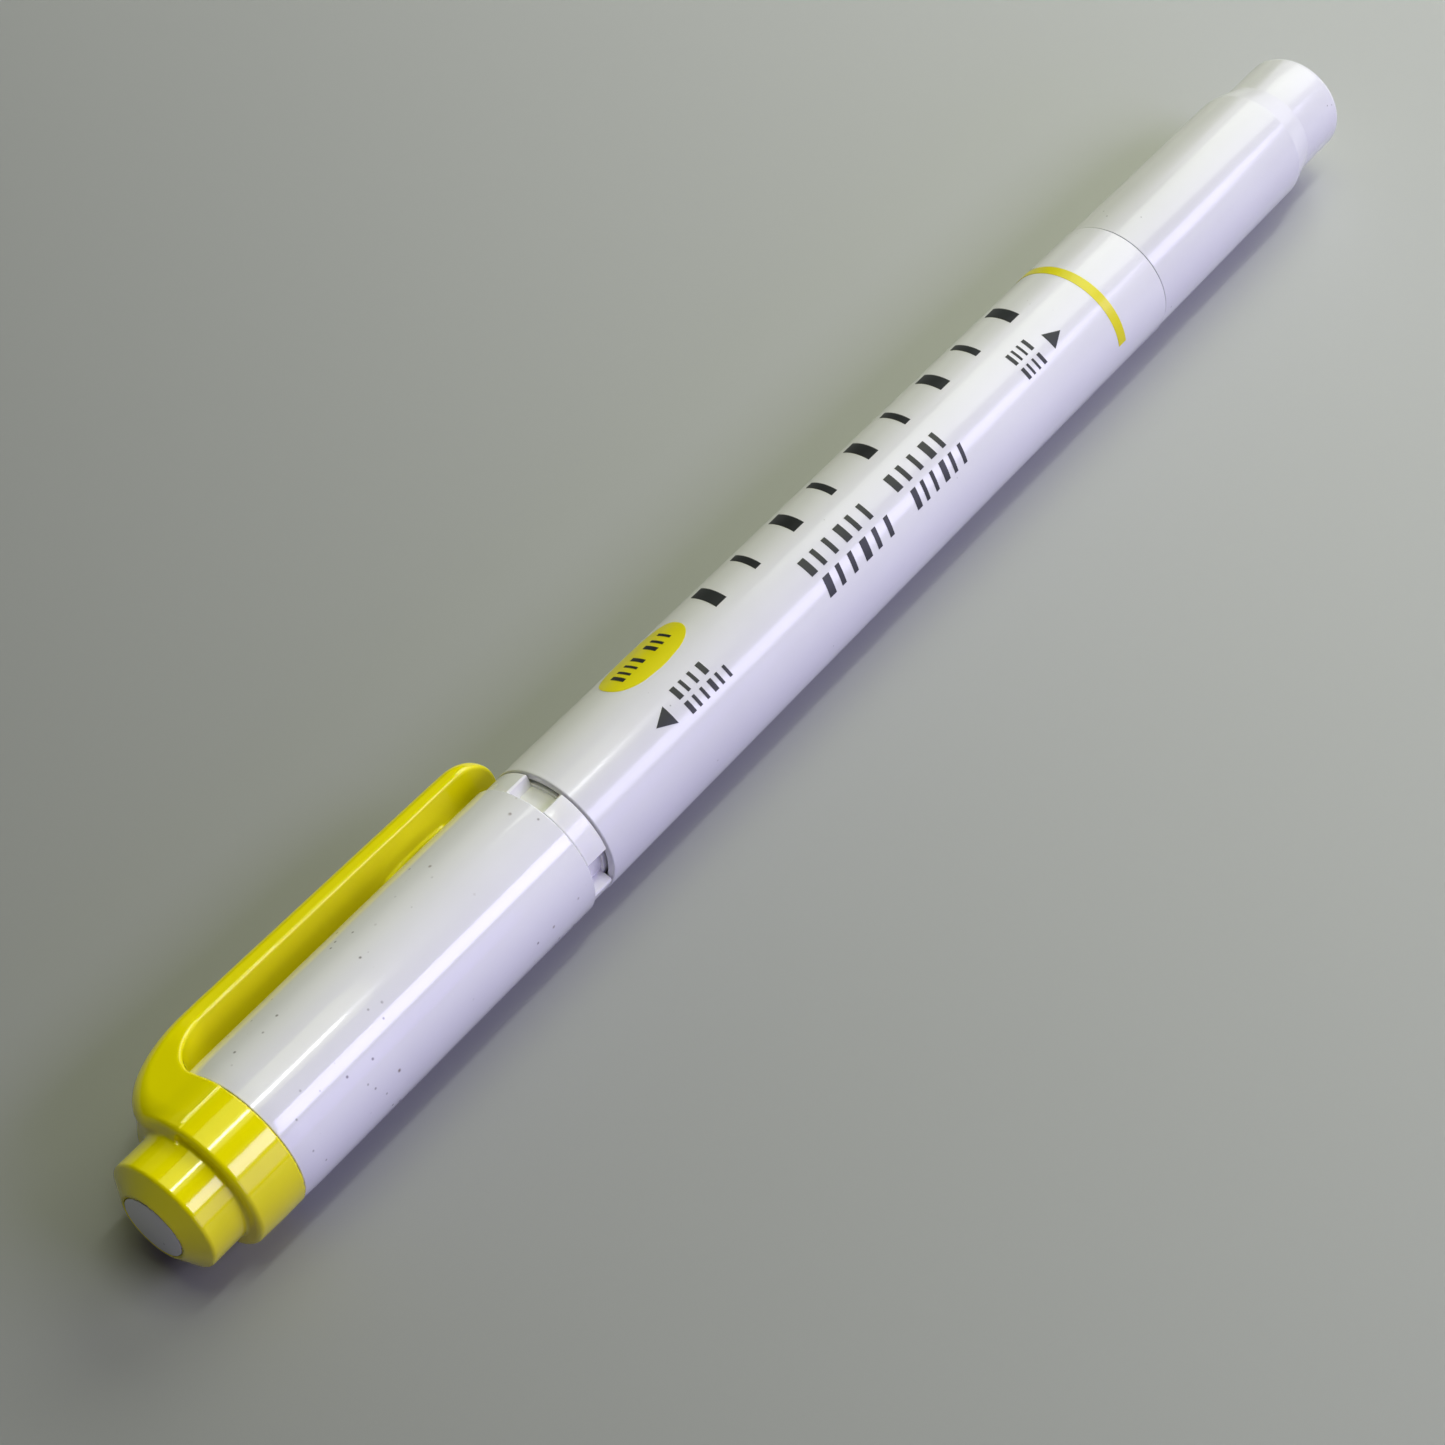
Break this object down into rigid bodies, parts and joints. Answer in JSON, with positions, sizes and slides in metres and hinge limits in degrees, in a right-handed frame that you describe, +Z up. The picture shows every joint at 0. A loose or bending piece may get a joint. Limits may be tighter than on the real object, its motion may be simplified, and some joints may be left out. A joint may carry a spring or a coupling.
{
  "type": "double-ended highlighter pen",
  "caption": "Double-ended highlighter pen lying on its side: white barrel, capped broad chisel end with a yellow crown and pocket clip, and a capped fine end.",
  "frame": {"origin": "middle of the broad end's face, on the pen's axis", "axes": "+X along the pen from the broad end to the fine end, +Z up as the pen lies, +Y to the clip's side"},
  "size_m": [0.1424, 0.0149, 0.0117],
  "materials": {
    "white_shell": "glossy opaque white injection-moulded polypropylene",
    "yellow_moulding": "glossy opaque lemon-yellow polypropylene",
    "cream_moulding": "satin, slightly creamy natural polypropylene",
    "nib_felt": "ink-soaked bonded polyester felt",
    "ink_fibre": "ink-soaked bundled fibre",
    "clear_film": "clear wrap film"
  },
  "bodies": {
    "barrel": {"barrel_tube": "white_shell", "broad_section": "cream_moulding", "broad_nib": "nib_felt", "reservoir_core": "ink_fibre", "reservoir_film": "clear_film", "fine_section": "cream_moulding", "fine_nib": "nib_felt"},
    "broad_liner": {"broad_cap_liner": "cream_moulding"},
    "broad_cap": {"broad_cap_shell": "white_shell", "crown_button": "yellow_moulding", "clip_ring": "yellow_moulding"},
    "clip": {"clip_arm": "yellow_moulding"},
    "fine_liner": {"fine_cap_liner": "cream_moulding"},
    "fine_cap": {"fine_cap_shell": "white_shell"}
  },
  "joints": [
    {"name": "broad_cap_pull", "type": "slide", "parent": "barrel", "child": "broad_liner", "axis": [-1, 0, 0], "range_m": [0, 0.026]},
    {"name": "broad_cap_turn", "type": "hinge", "parent": "broad_liner", "child": "broad_cap", "pos_m": [0.02, 0, 0], "axis": [1, 0, 0], "continuous": true},
    {"name": "clip_flex", "type": "hinge", "parent": "broad_cap", "child": "clip", "pos_m": [0.0107, 0.00746, -0.00145], "axis": [0, 0.1908, 0.9816], "range_deg": [0, 5], "stiffness_Nm_per_rad": 0.2, "springref_deg": -1.15},
    {"name": "fine_cap_pull", "type": "slide", "parent": "barrel", "child": "fine_liner", "axis": [1, 0, 0], "range_m": [0, 0.02]},
    {"name": "fine_cap_turn", "type": "hinge", "parent": "fine_liner", "child": "fine_cap", "pos_m": [0.13, 0, 0], "axis": [1, 0, 0], "continuous": true}
  ]
}
